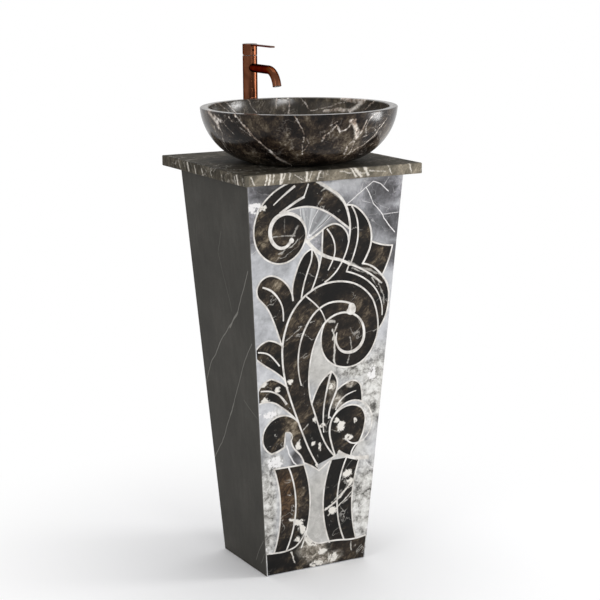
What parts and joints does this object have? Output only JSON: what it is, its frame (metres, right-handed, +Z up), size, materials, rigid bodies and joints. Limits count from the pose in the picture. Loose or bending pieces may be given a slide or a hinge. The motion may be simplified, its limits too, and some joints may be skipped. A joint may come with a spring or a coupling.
{
  "type": "pedestal basin",
  "caption": "Tapered stone pedestal with an inlaid scroll front, a stone slab, a round vessel bowl, a single lever mixer tap, a pop-up waste and a bottle trap.",
  "frame": {"origin": "on the floor, under the centre of the pedestal's foot", "axes": "+Z up, -Y towards the user (the inlaid front), +X to the right seen from the front"},
  "size_m": [0.3737, 0.4129, 1.0064],
  "materials": {
    "bowl_marble": "polished",
    "slab_marble": "satin",
    "ground_marble": "polished",
    "inlay_marble": "polished",
    "white_marble": "satin",
    "side_stone": "matte",
    "bronze": "satin",
    "steel": "satin",
    "white_plastic": "satin",
    "rubber_seals": "matte"
  },
  "bodies": {
    "pedestal": {"vessel_bowl": "bowl_marble", "countertop_slab": "slab_marble", "front_panel": "ground_marble", "left_panel": "side_stone", "right_panel": "side_stone", "back_panel": "side_stone", "base_plate": "side_stone", "corner_block_1": "side_stone", "corner_block_2": "side_stone", "corner_block_3": "side_stone", "corner_block_4": "side_stone", "joint_lines": "white_marble", "waste_flange_seal": "rubber_seals", "waste_body": "bronze", "latch_cartridge": "white_plastic", "waste_washer": "rubber_seals", "waste_backnut": "steel", "trap_inlet_nut": "white_plastic", "trap_tailpipe": "white_plastic", "trap_head": "white_plastic", "trap_cup": "white_plastic", "trap_outlet_nut": "white_plastic", "outlet_pipe": "white_plastic", "tap_base_seal": "rubber_seals", "tap_body": "bronze", "tap_spout": "bronze", "aerator": "white_plastic", "tap_stud": "steel", "clamp_plate": "steel", "stud_nut": "steel", "cartridge_housing": "white_plastic", "cartridge_nut": "steel", "inlay_scroll": "inlay_marble", "inlay_crest_leaves": "inlay_marble", "inlay_stem": "inlay_marble", "inlay_left_leaves": "inlay_marble", "inlay_centre_leaves": "inlay_marble", "inlay_volutes": "inlay_marble", "inlay_legs": "inlay_marble", "inlay_base_strip": "inlay_marble"},
    "turn": {"cartridge_bush": "white_plastic", "pivot_pin": "steel"},
    "handle": {"spindle": "steel", "handle_cap": "bronze", "handle_lever": "bronze", "grub_screw": "steel"},
    "plug": {"waste_plug": "bronze", "plug_seal": "rubber_seals"}
  },
  "joints": [
    {"name": "handle_turn", "type": "hinge", "parent": "pedestal", "child": "turn", "pos_m": [0, 0.168, 0.9844], "axis": [0, 0, 1], "range_deg": [-45, 45]},
    {"name": "handle_lift", "type": "hinge", "parent": "turn", "child": "handle", "pos_m": [0, 0.168, 0.9844], "axis": [-1, 0, 0], "range_deg": [0, 25]},
    {"name": "plug_lift", "type": "slide", "parent": "pedestal", "child": "plug", "axis": [0, 0, 1], "range_m": [0, 0.008]}
  ]
}
